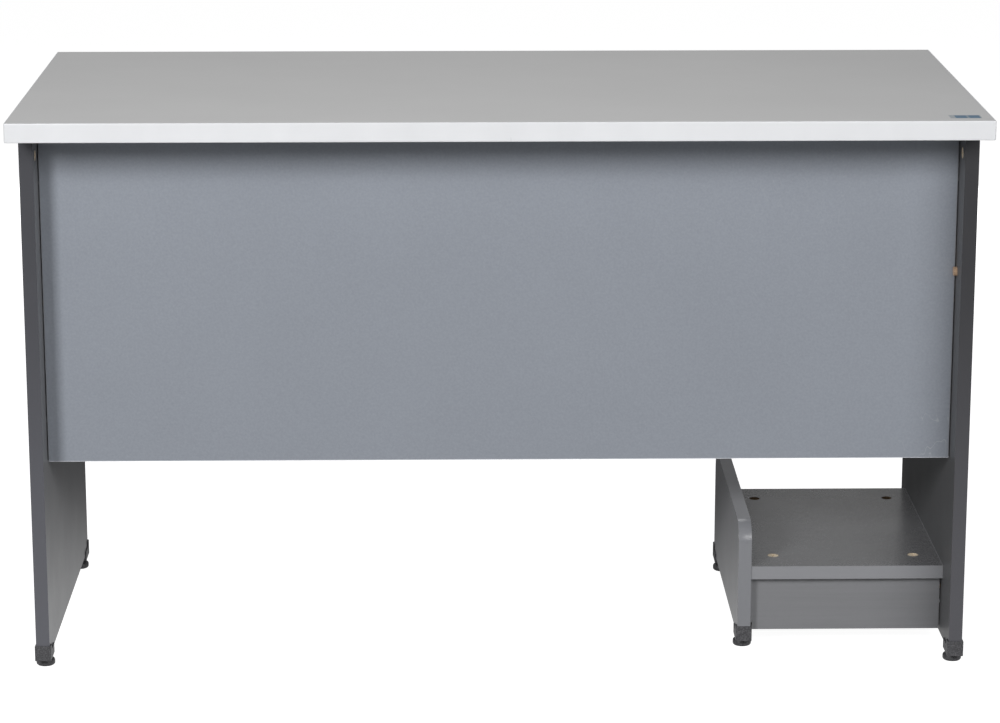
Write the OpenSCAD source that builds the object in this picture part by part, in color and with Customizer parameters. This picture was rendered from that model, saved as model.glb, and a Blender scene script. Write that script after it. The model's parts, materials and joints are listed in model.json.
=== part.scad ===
// Writing desk with a modesty panel, a low computer stand and a hanging three-drawer pedestal.
// Origin on the floor under the centre of the top. +Z is up, the user sits at -Y, +X is the user's right.

/* [Desk] */
// Length of the top, edge band included
desk_w = 1250; // [1150:1:1500]
// Depth of the top, edge band included
desk_d = 600; // [560:1:700]
// Height of the top face above the floor
desk_h = 750; // [720:1:760]
// Thickness of the top
top_t = 25; // [22:1:28]
// Thickness of the edge band round the top
band_t = 2; // [1:0.5:3]
// Thickness of every other board
board_t = 18; // [16:1:19]

/* [Side panels and modesty panel] */
// Overhang of the top past each side panel
side_inset = 8; // [0:1:20]
// Overhang of the top on the visitor's side
visitor_overhang = 75; // [60:1:90]
// Overhang of the top on the user's side
user_overhang = 45; // [40:1:60]
// Height of the side panels' lower edge
panel_z = 20; // [18:1:24]
// Distance from the side panels' visitor edge to the modesty panel
modesty_setback = 47; // [44:1:60]
// Height of the modesty panel's lower edge
modesty_z = 275; // [260:1:300]
// Gap at each end of the modesty panel
modesty_gap = 1; // [0.5:0.5:2]

/* [Computer stand] */
// Clear width of the stand between the side panel and the divider
stand_w = 259; // [240:1:280]
// Height of the stand's upper edge
stand_h = 178; // [170:1:200]
// Depth of the divider
divider_d = 387; // [380:1:395]
// Distance of the divider behind the modesty panel's visitor face
divider_setback = 19; // [15:1:22]
// Radius of the divider's upper corners
divider_r = 30; // [15:1:40]
// Height of the shelf's underside
shelf_z = 100; // [95:1:110]
// Depth of the shelf
shelf_d = 374; // [370:1:378]
// Height of the plinths' lower edge
plinth_z = 25; // [24:1:30]
// Gap between a plinth and the side panel
plinth_gap = 2; // [1:0.5:3]

/* [Pedestal and drawers] */
// Outer width of the pedestal, up to the side panel
pedestal_w = 400; // [380:1:420]
// Height of the pedestal's underside
pedestal_z = 285; // [285:1:300]
// Gap between two drawer fronts
front_gap = 4; // [3:0.5:5]
// Length of the drawer boxes and the slides
slide_l = 350; // [350:1:355]
// How far a drawer pulls out
drawer_travel = 260; // [200:1:260]
// Thickness of the drawer box boards
box_t = 12; // [10:1:13]
// Height of the drawer box sides
box_h = 85; // [60:1:88]
// Distance between the feet of a handle
handle_c = 128; // [96:32:160]

/* [Feet] */
// Diameter of a levelling glide
glide_d = 25; // [22:1:28]
// Distance from a panel's end to its glide
glide_inset = 26; // [24:1:28]

/* [Hidden] */
$fn = 48;
eps = 0.1;

top_z = desk_h - top_t;
side_x = desk_w / 2 - side_inset - board_t;
side_y1 = desk_d / 2 - visitor_overhang;
side_y0 = user_overhang - desk_d / 2;
modesty_y = side_y1 - modesty_setback - board_t;
stand_x = stand_w - side_x;
divider_y1 = modesty_y + board_t - divider_setback;
divider_y0 = divider_y1 - divider_d;
shelf_y1 = divider_y1 - 2;
shelf_y0 = shelf_y1 - shelf_d;
plinth_y = [shelf_y1 - board_t - 12, shelf_y0 + 12];

// Cam fittings: a bolt in the face of one board, held by a round cam in another board's edge
cam_r = 7.45;
cam_depth = 12.4;
cam_back = 34;
bolt_r = 2.95;
bolt_bite = 11;
dowel_r = 3.95;
dowel_l = [18, 12];
fit_play = 0.05;

// Glides and corner shoes
glide_h = 9;
collar_r = 7;
shoe_z = 13;
shoe_wall = 1.8;
shoe_h = 21;
shoe_l = 39;
shoe_cap_l = 10;
shoe_arm_z = 26.5;
stem_r = 4;
stem_top = 45;

// Pedestal
ped_x = side_x - pedestal_w;
ped_in = ped_x + board_t;
carcass_y0 = side_y0 + 22;
carcass_y1 = modesty_y - 10;
front_y = side_y0 + 2;
front_back = front_y + board_t;
front_x0 = ped_x + 2;
front_x1 = side_x - 2;
front_mid = (front_x0 + front_x1) / 2;
front_n = 3;
front_h = (top_z - 3 - pedestal_z - (front_n - 1) * front_gap) / front_n;
front_pitch = front_h + front_gap;
box_rise = 24;
box_bottom_t = 4;
box_y1 = front_back + slide_l;

// Drawer slides: a steel channel, a ball cage and a drawer channel, seen end on
slide_t = 12.7;
slide_gap = 0.3;
slide_rise = 40;
slide_steel = 1.2;
outer_h = 35;
outer_w = 10;
inner_h = 24.2;
inner_w = 8.7;
cage_y0 = front_back + 4 + drawer_travel / 2;
cage_l = slide_l - drawer_travel;
cage_u = 2.4;
cage_t = 0.8;
cage_h = 29;
cage_w = 7;
ball_r = 1.7;
ball_u = 6.5;
ball_v = 14.2;
ball_n = 6;

// Lock in the top drawer, with its tongue behind a rail under the top
rail_y = carcass_y0;
rail_t = 10;
rail_h = 25;
lock_z = top_z - 40;
lock_r = 9;
plug_r = 5;
tongue_y = rail_y + rail_t + 1.5;
tongue_t = 2;
tongue_l = 26;

// Where the fittings and dowels stand along each joint
side_cam_end = 25;
modesty_cam_x = [-200, 150];
modesty_cam_z = [330, 650];
shelf_cam_end = 50;
plinth_cam_z = 62;
ped_top_cam_y = [-190, 110];
ped_floor_cam_y = [-190, 90];
ped_back_cam_z = 514;
side_dowel_y = [-100, 100];
ped_top_dowel_y = -40;
modesty_dowel_z = 490;
shelf_dowel_y = -30;
plinth_dowel_z = 84;
ped_floor_dowel_y = -50;
ped_back_dowel_z = 620;

// The middle planes of the boards that the fittings stand in
side_mid_x = side_x + board_t / 2;
ped_mid_x = ped_x + board_t / 2;
divider_x = stand_x + board_t / 2;
modesty_x = side_x - modesty_gap;
modesty_mid = modesty_y + board_t / 2;
shelf_mid = shelf_z + board_t / 2;
plinth_mid = [for (y = plinth_y) y + board_t / 2];
plinth_x = plinth_gap - side_x;
ped_floor_mid = pedestal_z + board_t / 2;
ped_back_mid = carcass_y1 - board_t / 2;

// Each fitting is [joint point, tip of the bolt about Y, turn of the cam's face about the bolt]
side_cam_y = [side_y1 - side_cam_end, side_y0 + side_cam_end];
side_top_fits = [for (y = side_cam_y) [[side_mid_x, y, top_z], 0, 180]];
side_top_fits_left = [for (y = side_cam_y) [[-side_mid_x, y, top_z], 0, 0]];
modesty_top_fits = [for (x = modesty_cam_x) [[x, modesty_mid, top_z], 0, -90]];
ped_top_fits = [for (y = ped_top_cam_y) [[ped_mid_x, y, top_z], 0, 0]];
modesty_right_fits = [for (z = modesty_cam_z) [[modesty_x, modesty_mid, z], 90, -90]];
modesty_left_fits = [for (z = modesty_cam_z) [[-modesty_x, modesty_mid, z], -90, -90]];
shelf_cam_y = [shelf_y1 - shelf_cam_end, shelf_y0 + shelf_cam_end];
shelf_divider_fits = [for (y = shelf_cam_y) [[stand_x, y, shelf_mid], 90, 180]];
shelf_side_fits = [for (y = shelf_cam_y) [[-side_x, y, shelf_mid], -90, 0]];
plinth_turn = [-90, 90];
plinth_divider_fits = [for (i = [0, 1]) [[stand_x, plinth_mid[i], plinth_cam_z], 90, plinth_turn[i]]];
plinth_side_fits = [for (i = [0, 1]) [[plinth_x, plinth_mid[i], plinth_cam_z], -90, plinth_turn[i]]];
ped_floor_fits = [for (y = ped_floor_cam_y) [[ped_in, y, ped_floor_mid], -90, 0]];
ped_floor_side_fits = [for (y = ped_floor_cam_y) [[side_x, y, ped_floor_mid], 90, 180]];
ped_back_fits = [[[ped_in, ped_back_mid, ped_back_cam_z], -90, 90]];
ped_back_side_fits = [[[side_x, ped_back_mid, ped_back_cam_z], 90, 90]];
ALL_FITS = concat(side_top_fits, side_top_fits_left, modesty_top_fits, ped_top_fits, modesty_right_fits,
    modesty_left_fits, shelf_divider_fits, shelf_side_fits, plinth_divider_fits, plinth_side_fits,
    ped_floor_fits, ped_floor_side_fits, ped_back_fits, ped_back_side_fits);

// Each dowel is [joint point, tip about Y], pointing into the board whose face it enters
dowel_side = [for (y = side_dowel_y) [[side_mid_x, y, top_z], 0]];
dowel_side_left = [for (y = side_dowel_y) [[-side_mid_x, y, top_z], 0]];
dowel_ped_top = [[[ped_mid_x, ped_top_dowel_y, top_z], 0]];
dowel_modesty = [[[side_x, modesty_mid, modesty_dowel_z], 90]];
dowel_modesty_left = [[[-side_x, modesty_mid, modesty_dowel_z], -90]];
dowel_shelf = [[[stand_x, shelf_dowel_y, shelf_mid], 90]];
dowel_shelf_side = [[[-side_x, shelf_dowel_y, shelf_mid], -90]];
dowel_plinth = [for (y = plinth_mid) [[stand_x, y, plinth_dowel_z], 90]];
dowel_plinth_side = [for (y = plinth_mid) [[-side_x, y, plinth_dowel_z], -90]];
dowel_ped_floor = [[[ped_in, ped_floor_dowel_y, ped_floor_mid], -90]];
dowel_ped_floor_side = [[[side_x, ped_floor_dowel_y, ped_floor_mid], 90]];
dowel_ped_back = [[[ped_in, ped_back_mid, ped_back_dowel_z], -90]];
dowel_ped_back_side = [[[side_x, ped_back_mid, ped_back_dowel_z], 90]];
ALL_DOWELS = concat(dowel_side, dowel_side_left, dowel_ped_top, dowel_modesty, dowel_modesty_left,
    dowel_shelf, dowel_shelf_side, dowel_plinth, dowel_plinth_side, dowel_ped_floor, dowel_ped_floor_side,
    dowel_ped_back, dowel_ped_back_side);

// Glide places: [x, y, 0 for a visitor's end or 180 for a user's end]
FEET = [
    [side_mid_x, side_y1, 0],
    [side_mid_x, side_y0, 180],
    [-side_mid_x, side_y1, 0],
    [-side_mid_x, side_y0, 180],
    [divider_x, divider_y1, 0],
    [divider_x, divider_y0, 180]];
right_feet = [FEET[0], FEET[1]];
left_feet = [FEET[2], FEET[3]];
divider_feet = [FEET[4], FEET[5]];

// A flat round plug on the left side panel, just in front of the modesty panel
cap_y = modesty_y + 26;
cap_z = 531;
cap_r = 6;
cap_h = 4.5;
cap_stem_r = 4;
cap_stem_l = 7.5;

label_size = [40, 23, 0.2];
label_at = [-590, 268];

graphite = [0.34, 0.34, 0.36];
white_band = [0.90, 0.91, 0.92];
light_grey = [0.67, 0.67, 0.67];
slate = [0.50, 0.52, 0.56];
black_plastic = [0.05, 0.05, 0.05];
zinc = [0.72, 0.73, 0.75];
steel = [0.62, 0.63, 0.65];
cream = [0.86, 0.82, 0.70];
beech = [0.80, 0.66, 0.47];
box_grey = [0.78, 0.78, 0.77];

// ---- shared shapes ----

module box(low, high) translate(low) cube(high - low);

// A rectangle whose four corners are round
module round_rect(w, d, r) {
    translate([-w / 2 + r, -d / 2]) square([w - 2 * r, d]);
    translate([-w / 2, -d / 2 + r]) square([w, d - 2 * r]);
    for (x = [-1, 1], y = [-1, 1])
        translate([x * (w / 2 - r), y * (d / 2 - r)]) circle(r);
}

module place(at, tip, turn = 0) {
    translate(at) rotate([0, tip, 0]) rotate([0, 0, turn]) children();
}

// The holes of one fitting: the cam's pocket, and the bolt's bore through both boards
module fitting_holes(fit) {
    place(fit[0], fit[1], fit[2]) {
        translate([board_t / 2 - cam_depth - eps, 0, -cam_back])
            rotate([0, 90, 0]) cylinder(r = cam_r + fit_play, h = cam_depth + 2 * eps);
        translate([0, 0, -cam_back]) cylinder(r = bolt_r + 0.5, h = cam_back);
        translate([0, 0, -eps]) cylinder(r = bolt_r + fit_play, h = bolt_bite + 2);
    }
}

module dowel_hole(dowel) {
    place(dowel[0], dowel[1]) translate([0, 0, -dowel_l[0]])
        cylinder(r = dowel_r + fit_play, h = dowel_l[0] + dowel_l[1]);
}

module stem_hole(foot) {
    translate([foot[0], foot[1] + glide_inset * (foot[2] == 0 ? -1 : 1), shoe_z - eps])
        cylinder(r = stem_r + fit_play, h = stem_top + 5 - shoe_z);
}

// A board drilled for the fittings, dowels and glides that it meets
module drilled(fits = [], dowels = [], feet = []) {
    difference() {
        children();
        for (f = fits) fitting_holes(f);
        for (d = dowels) dowel_hole(d);
        for (f = feet) stem_hole(f);
    }
}

// ---- top ----

module desktop() {
    inner = [desk_w / 2 - band_t, desk_d / 2 - band_t];
    color(light_grey) difference() {
        drilled(concat(side_top_fits, side_top_fits_left, modesty_top_fits, ped_top_fits),
            concat(dowel_side, dowel_side_left, dowel_ped_top))
            box([-inner[0], -inner[1], top_z], [inner[0], inner[1], desk_h]);
        label_shape(eps);
    }
}

module desktop_edge_band() {
    color(white_band)
        translate([0, 0, top_z]) linear_extrude(top_t) difference() {
            round_rect(desk_w, desk_d, band_t);
            square([desk_w - 2 * band_t, desk_d - 2 * band_t], center = true);
        }
}

// The label lies flush with the top face
module label_shape(rise = 0) {
    translate([label_at[0] - label_size[0] / 2, label_at[1] - label_size[1] / 2, desk_h - label_size[2]])
        cube(label_size + [0, 0, rise]);
}

module blank_label() {
    color("steelblue") label_shape();
}

// ---- upright boards ----

module side_panel_right() {
    color(graphite)
        drilled(concat(side_top_fits, modesty_right_fits, ped_floor_side_fits, ped_back_side_fits),
            concat(dowel_side, dowel_modesty, dowel_ped_floor_side, dowel_ped_back_side), right_feet)
        box([side_x, side_y0, panel_z], [side_x + board_t, side_y1, top_z]);
}

module side_panel_left() {
    color(graphite) difference() {
        drilled(concat(side_top_fits_left, modesty_left_fits, shelf_side_fits, plinth_side_fits),
            concat(dowel_side_left, dowel_modesty_left, dowel_shelf_side, dowel_plinth_side), left_feet)
            box([-side_x - board_t, side_y0, panel_z], [-side_x, side_y1, top_z]);
        translate([-side_x - cap_stem_l - 0.5, cap_y, cap_z]) rotate([0, 90, 0])
            cylinder(r = cap_stem_r + fit_play, h = cap_stem_l + 0.5 + eps);
    }
}

module modesty_panel() {
    color(slate)
        drilled(concat(modesty_right_fits, modesty_left_fits, modesty_top_fits),
            concat(dowel_modesty, dowel_modesty_left))
        box([-modesty_x, modesty_y, modesty_z], [modesty_x, modesty_y + board_t, top_z]);
}

module panel_plug() {
    color(cream) translate([-side_x, cap_y, cap_z]) rotate([0, 90, 0]) {
        cylinder(r = cap_r, h = cap_h);
        translate([0, 0, -cap_stem_l]) cylinder(r = cap_stem_r, h = cap_stem_l + 0.5);
    }
}

// ---- computer stand ----

module cpu_divider() {
    h = stand_h - panel_z;
    color(graphite)
        drilled(concat(shelf_divider_fits, plinth_divider_fits),
            concat(dowel_shelf, dowel_plinth), divider_feet)
        translate([stand_x, divider_y0, panel_z]) rotate([90, 0, 90]) linear_extrude(board_t) {
            square([divider_d, h - divider_r]);
            translate([divider_r, 0]) square([divider_d - 2 * divider_r, h]);
            for (y = [divider_r, divider_d - divider_r]) translate([y, h - divider_r]) circle(divider_r);
        }
}

module cpu_shelf() {
    color(graphite)
        drilled(concat(shelf_divider_fits, shelf_side_fits), concat(dowel_shelf, dowel_shelf_side))
        box([-side_x, shelf_y0, shelf_z], [stand_x, shelf_y1, shelf_z + board_t]);
}

// A rail under the shelf, notched where the divider's corner shoe passes it
module cpu_plinth(i) {
    color(graphite) difference() {
        drilled([plinth_divider_fits[i], plinth_side_fits[i]], [dowel_plinth[i], dowel_plinth_side[i]])
            box([plinth_x, plinth_y[i], plinth_z], [stand_x, plinth_y[i] + board_t, shelf_z]);
        box([stand_x - 3, plinth_y[i] - eps, plinth_z - eps],
            [stand_x + eps, plinth_y[i] + board_t + eps, shoe_z + shoe_h + 1]);
    }
}

// ---- pedestal ----

module pedestal_side() {
    color(graphite)
        drilled(concat(ped_top_fits, ped_floor_fits, ped_back_fits),
            concat(dowel_ped_top, dowel_ped_floor, dowel_ped_back))
        box([ped_x, carcass_y0, pedestal_z], [ped_in, carcass_y1, top_z]);
}

module pedestal_bottom() {
    color(graphite)
        drilled(concat(ped_floor_fits, ped_floor_side_fits), concat(dowel_ped_floor, dowel_ped_floor_side))
        box([ped_in, carcass_y0, pedestal_z], [side_x, carcass_y1, pedestal_z + board_t]);
}

module pedestal_back() {
    color(graphite)
        drilled(concat(ped_back_fits, ped_back_side_fits), concat(dowel_ped_back, dowel_ped_back_side))
        box([ped_in, carcass_y1 - board_t, pedestal_z + board_t], [side_x, carcass_y1, top_z]);
}

rail_screw_x = [ped_in + 60, side_x - 60];

module rail_screw_shapes(play) {
    for (x = rail_screw_x) translate([x, rail_y + rail_t / 2, top_z - rail_h]) {
        translate([0, 0, -eps]) cylinder(r = 3.6 + play, h = 3 + eps);
        cylinder(r = 1.8 + play, h = rail_h);
    }
}

module lock_rail() {
    color(graphite) difference() {
        box([ped_in, rail_y, top_z - rail_h], [side_x, rail_y + rail_t, top_z]);
        rail_screw_shapes(fit_play);
    }
}

module rail_screws() {
    color(zinc) rail_screw_shapes(0);
}

// ---- drawer slides ----

// A U profile open towards +X, with its web on the left
module channel(x, w, h, t) {
    translate([x, -h / 2]) square([t, h]);
    for (y = [-h / 2, h / 2 - t]) translate([x, y]) square([w, t]);
}

// Stands a profile up at a drawer's height and runs it along Y; hand -1 turns it to the other side
module run_profile(drawer, hand, y0, length) {
    z = box_z(drawer) + box_bottom_t + slide_rise;
    x = hand > 0 ? ped_in : side_x;
    translate([x, y0 + length, z]) mirror([hand > 0 ? 0 : 1, 0, 0])
        rotate([90, 0, 0]) linear_extrude(length) children();
}

module slides_outer() {
    color(zinc)
        for (drawer = [1 : front_n], hand = [1, -1])
            run_profile(drawer, hand, front_back + 4, slide_l)
                channel(0, outer_w, outer_h, slide_steel);
}

// The drawer's own channels, with their webs screwed to the box sides
module drawer_slides(drawer) {
    color(zinc)
        for (hand = [1, -1])
            run_profile(drawer, hand, front_back + 4, slide_l - 4)
                translate([slide_t + slide_gap, 0]) mirror([1, 0, 0])
                    channel(0, inner_w, inner_h, slide_steel);
}

module ball_cages(drawer) {
    z = box_z(drawer) + box_bottom_t + slide_rise;
    color(steel)
        for (hand = [1, -1]) {
            run_profile(drawer, hand, cage_y0, cage_l) channel(cage_u, cage_w, cage_h, cage_t);
            for (i = [0 : ball_n - 1], v = [-1, 1])
                translate([hand > 0 ? ped_in + ball_u : side_x - ball_u,
                        cage_y0 + (i + 0.5) * cage_l / ball_n, z + v * ball_v])
                    sphere(ball_r);
        }
}

// ---- drawers, counted from the lowest ----

function front_z(drawer) = pedestal_z + (drawer - 1) * front_pitch;
function box_z(drawer) = front_z(drawer) + box_rise;
function handle_z(drawer) = front_z(drawer) + front_h / 2 - 8;

box_x0 = ped_in + slide_t + slide_gap;
box_x1 = side_x - slide_t - slide_gap;

module drawer_front(drawer) {
    z = front_z(drawer);
    color(graphite) difference() {
        box([front_x0, front_y, z], [front_x1, front_back, z + front_h]);
        for (x = [-1, 1]) translate([front_mid + x * handle_c / 2, front_y - eps, handle_z(drawer)])
            rotate([-90, 0, 0]) cylinder(r = 2.1 + fit_play, h = board_t + 2 * eps);
        if (drawer == front_n) translate([front_mid, front_y - eps, lock_z])
            rotate([-90, 0, 0]) cylinder(r = lock_r + fit_play, h = board_t + 2 * eps);
    }
}

module drawer_side(drawer, x) {
    z = box_z(drawer) + box_bottom_t;
    color(box_grey) box([x, front_back, z], [x + box_t, box_y1, z + box_h]);
}

module drawer_back(drawer) {
    z = box_z(drawer) + box_bottom_t;
    color(box_grey) box([box_x0 + box_t, box_y1 - box_t, z], [box_x1 - box_t, box_y1, z + box_h]);
}

module drawer_bottom(drawer) {
    z = box_z(drawer);
    color(box_grey) box([box_x0, front_back, z], [box_x1, box_y1, z + box_bottom_t]);
}

// A bow handle on two feet, with the two screws that hold it from inside the front
module drawer_handle(drawer) {
    r = 5;
    reach = 25;
    color(zinc) translate([front_mid, front_y, handle_z(drawer)]) {
        difference() {
            union() {
                for (x = [-1, 1]) translate([x * handle_c / 2, 0, 0]) {
                    rotate([90, 0, 0]) cylinder(r = r, h = reach);
                    translate([0, -reach, 0]) sphere(r);
                }
                translate([-handle_c / 2, -reach, 0]) rotate([0, 90, 0]) cylinder(r = r, h = handle_c);
            }
            for (x = [-1, 1]) translate([x * handle_c / 2, -12, 0])
                rotate([-90, 0, 0]) cylinder(r = 2.1, h = 12 + eps);
        }
        for (x = [-1, 1]) translate([x * handle_c / 2, 0, 0]) rotate([-90, 0, 0]) {
            translate([0, 0, -10]) cylinder(r = 2, h = board_t + 10);
            translate([0, 0, board_t]) cylinder(r = 4, h = 2.5);
        }
    }
}

// ---- lock ----

module lock_part() translate([front_mid, front_y, lock_z]) rotate([-90, 0, 0]) children();

module lock_housing() {
    length = tongue_y - front_y - 0.5;
    color(zinc) lock_part() difference() {
        union() {
            translate([0, 0, -1.5]) cylinder(r = lock_r + 2, h = 1.5);
            cylinder(r = lock_r, h = length);
        }
        translate([0, 0, -2]) cylinder(r = plug_r + fit_play, h = length + 3);
    }
}

module lock_plug() {
    color(steel) lock_part() difference() {
        translate([0, 0, -2]) cylinder(r = plug_r, h = tongue_y - front_y + 2);
        translate([-1, -3, -2 - eps]) cube([2, 6, 5]);
    }
}

module lock_tongue() {
    color(zinc) lock_part() translate([0, 0, tongue_y - front_y]) linear_extrude(tongue_t) {
        circle(plug_r + 2);
        translate([0, -plug_r]) square([tongue_l - 5, 2 * plug_r]);
        translate([tongue_l - 5, 0]) circle(plug_r);
    }
}

// ---- corner shoes and glides ----

// A plastic corner shoe that clips over a board's lower corner: a tall cap in front of two low arms
module shoe(i) {
    foot = FEET[i];
    w = board_t + 2 * shoe_wall;
    color(black_plastic) translate([foot[0], foot[1], 0]) rotate([0, 0, foot[2]]) difference() {
        translate([-w / 2, 0, 0]) rotate([90, 0, 90]) linear_extrude(w) polygon([
            [shoe_wall, shoe_z],
            [shoe_wall, shoe_z + shoe_h],
            [-shoe_cap_l, shoe_z + shoe_h],
            [-shoe_cap_l, shoe_arm_z],
            [shoe_wall - shoe_l, shoe_arm_z],
            [shoe_wall - shoe_l, shoe_z]]);
        translate([-board_t / 2, -shoe_l, panel_z]) cube([board_t, shoe_l, shoe_h]);
        translate([0, -glide_inset, 0]) cylinder(r = stem_r + fit_play, h = panel_z + 1);
    }
}

module glide(i) {
    foot = FEET[i];
    r = glide_d / 2;
    color(black_plastic)
        translate([foot[0], foot[1], 0]) rotate([0, 0, foot[2]]) translate([0, -glide_inset, 0]) {
            cylinder(r1 = r - 1.5, r2 = r, h = 1.5);
            translate([0, 0, 1.5]) cylinder(r = r, h = glide_h - 3);
            translate([0, 0, glide_h - 1.5]) cylinder(r1 = r, r2 = r - 1.5, h = 1.5);
            translate([0, 0, glide_h - 1]) cylinder(r = collar_r, h = shoe_z - glide_h + 1);
            cylinder(r = stem_r, h = stem_top);
        }
}

// ---- fittings, each kind drawn once for every place ----

module cam_locks() {
    color(cream) for (f = ALL_FITS) place(f[0], f[1], f[2]) translate([0, 0, -cam_back]) difference() {
        translate([board_t / 2 - cam_depth, 0, 0]) rotate([0, 90, 0]) cylinder(r = cam_r, h = cam_depth);
        translate([0, 0, -4]) cylinder(r = bolt_r + 0.5, h = 4 + cam_r + 1);
        translate([board_t / 2 - 2, -0.7, -3.5]) cube([2 + eps, 1.4, 7]);
        translate([board_t / 2 - 2, -3.5, -0.7]) cube([2 + eps, 7, 1.4]);
    }
}

module cam_bolts() {
    color(zinc) for (f = ALL_FITS) place(f[0], f[1], f[2]) {
        translate([0, 0, 4 - cam_back]) cylinder(r = 2, h = cam_back - 4);
        translate([0, 0, -cam_back]) cylinder(r = bolt_r, h = 4);
        translate([0, 0, -20]) cylinder(r = bolt_r, h = 20 + bolt_bite);
    }
}

module wood_dowels() {
    color(beech) for (d = ALL_DOWELS) place(d[0], d[1]) translate([0, 0, 1 - dowel_l[0]])
        cylinder(r = dowel_r, h = dowel_l[0] + dowel_l[1] - 2);
}

desktop();
desktop_edge_band();
side_panel_right();
side_panel_left();
modesty_panel();
cpu_divider();
cpu_shelf();
cpu_plinth(0);  // cpu_plinth_visitor
cpu_plinth(1);  // cpu_plinth_user
pedestal_side();
pedestal_bottom();
pedestal_back();
lock_rail();
rail_screws();
slides_outer();
shoe(0);  // shoe_right_visitor
shoe(1);  // shoe_right_user
shoe(2);  // shoe_left_visitor
shoe(3);  // shoe_left_user
shoe(4);  // shoe_divider_visitor
shoe(5);  // shoe_divider_user
glide(0);  // glide_right_visitor
glide(1);  // glide_right_user
glide(2);  // glide_left_visitor
glide(3);  // glide_left_user
glide(4);  // glide_divider_visitor
glide(5);  // glide_divider_user
cam_locks();
cam_bolts();
wood_dowels();
panel_plug();
blank_label();
drawer_front(1);  // drawer_1_front
drawer_side(1, box_x0);  // drawer_1_side_left
drawer_side(1, box_x1 - box_t);  // drawer_1_side_right
drawer_back(1);  // drawer_1_back
drawer_bottom(1);  // drawer_1_bottom
drawer_handle(1);  // drawer_1_handle
drawer_slides(1);  // drawer_1_slides
ball_cages(1);  // drawer_1_ball_cages
drawer_front(2);  // drawer_2_front
drawer_side(2, box_x0);  // drawer_2_side_left
drawer_side(2, box_x1 - box_t);  // drawer_2_side_right
drawer_back(2);  // drawer_2_back
drawer_bottom(2);  // drawer_2_bottom
drawer_handle(2);  // drawer_2_handle
drawer_slides(2);  // drawer_2_slides
ball_cages(2);  // drawer_2_ball_cages
drawer_front(3);  // drawer_3_front
drawer_side(3, box_x0);  // drawer_3_side_left
drawer_side(3, box_x1 - box_t);  // drawer_3_side_right
drawer_back(3);  // drawer_3_back
drawer_bottom(3);  // drawer_3_bottom
drawer_handle(3);  // drawer_3_handle
drawer_slides(3);  // drawer_3_slides
ball_cages(3);  // drawer_3_ball_cages
lock_housing();
lock_plug();
lock_tongue();
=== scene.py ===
"""The looks of a writing desk: banded top, panel legs, modesty panel, computer stand and drawers."""

import json
import math

import bmesh
import bpy
import numpy as np
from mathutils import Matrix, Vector


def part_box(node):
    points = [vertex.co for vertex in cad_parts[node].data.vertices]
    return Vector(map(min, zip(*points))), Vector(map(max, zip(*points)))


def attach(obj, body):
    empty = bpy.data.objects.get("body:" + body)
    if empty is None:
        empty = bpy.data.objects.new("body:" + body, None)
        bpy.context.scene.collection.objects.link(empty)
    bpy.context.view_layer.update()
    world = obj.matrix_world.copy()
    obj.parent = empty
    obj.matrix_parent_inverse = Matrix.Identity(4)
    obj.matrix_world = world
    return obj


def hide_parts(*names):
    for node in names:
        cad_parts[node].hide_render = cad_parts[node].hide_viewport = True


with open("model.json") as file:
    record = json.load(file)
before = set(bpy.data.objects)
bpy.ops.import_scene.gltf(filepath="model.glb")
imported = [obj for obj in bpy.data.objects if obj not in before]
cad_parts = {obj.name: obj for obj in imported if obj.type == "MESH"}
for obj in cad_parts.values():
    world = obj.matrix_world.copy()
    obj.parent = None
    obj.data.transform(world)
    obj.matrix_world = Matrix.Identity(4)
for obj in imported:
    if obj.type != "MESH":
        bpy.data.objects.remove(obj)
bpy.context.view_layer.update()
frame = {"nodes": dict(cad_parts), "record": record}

NODES = frame["nodes"]
BODY = {node: body for body, group in frame["record"]["behaviour"]["bodies"].items() for node in group}
SLOT = {node: o.data.materials[0].name for node, o in NODES.items()}
MM = 0.001
SHARP = math.radians(35)


# ---- camera, floor and light ----

EYE = Vector((0.0707, 4.3684, 1.4563))
AIM = Vector((0.0014, 0.294, 0.4386))
LENS = 117.94
SENSOR = 36


def make_camera():
    """The camera stands on the visitor's side, a little above the top."""
    data = bpy.data.cameras.new("desk_camera")
    data.sensor_width = SENSOR
    data.lens = LENS
    data.clip_end = 100
    camera = bpy.data.objects.new("desk_camera", data)
    camera.location = EYE
    camera.rotation_euler = (AIM - EYE).to_track_quat("-Z", "Y").to_euler()
    bpy.context.scene.collection.objects.link(camera)
    bpy.context.scene.camera = camera


def softbox(name, at, aim, size, power, mirrored=True):
    """A rectangular studio light that faces a point. Glossy faces mirror it unless it is a plain fill."""
    data = bpy.data.lights.new(name, "AREA")
    data.shape = "RECTANGLE"
    data.size, data.size_y = size
    data.energy = power
    lamp = bpy.data.objects.new(name, data)
    lamp.location = at
    lamp.rotation_euler = (Vector(aim) - Vector(at)).to_track_quat("-Z", "Y").to_euler()
    lamp.visible_camera = False
    lamp.visible_glossy = mirrored
    bpy.context.scene.collection.objects.link(lamp)


def plain_material(name, colour, roughness, glow=0.0):
    """A flat finish for the studio's own surfaces."""
    material = bpy.data.materials.new(name)
    material.use_nodes = True
    shader = material.node_tree.nodes["Principled BSDF"]
    shader.inputs["Base Color"].default_value = (*colour, 1)
    shader.inputs["Roughness"].default_value = roughness
    shader.inputs["Emission Color"].default_value = (1, 1, 1, 1)
    shader.inputs["Emission Strength"].default_value = glow
    return material


def sheet_of_floor(name, height, material):
    """One wide level sheet of the studio, just under the desk's glides."""
    half = 20
    corners = [(-half, -half, height), (half, -half, height), (half, half, height), (-half, half, height)]
    mesh = bpy.data.meshes.new(name)
    mesh.from_pydata(corners, [], [(0, 1, 2, 3)])
    mesh.materials.append(material)
    floor = bpy.data.objects.new(name, mesh)
    bpy.context.scene.collection.objects.link(floor)
    return floor


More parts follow.
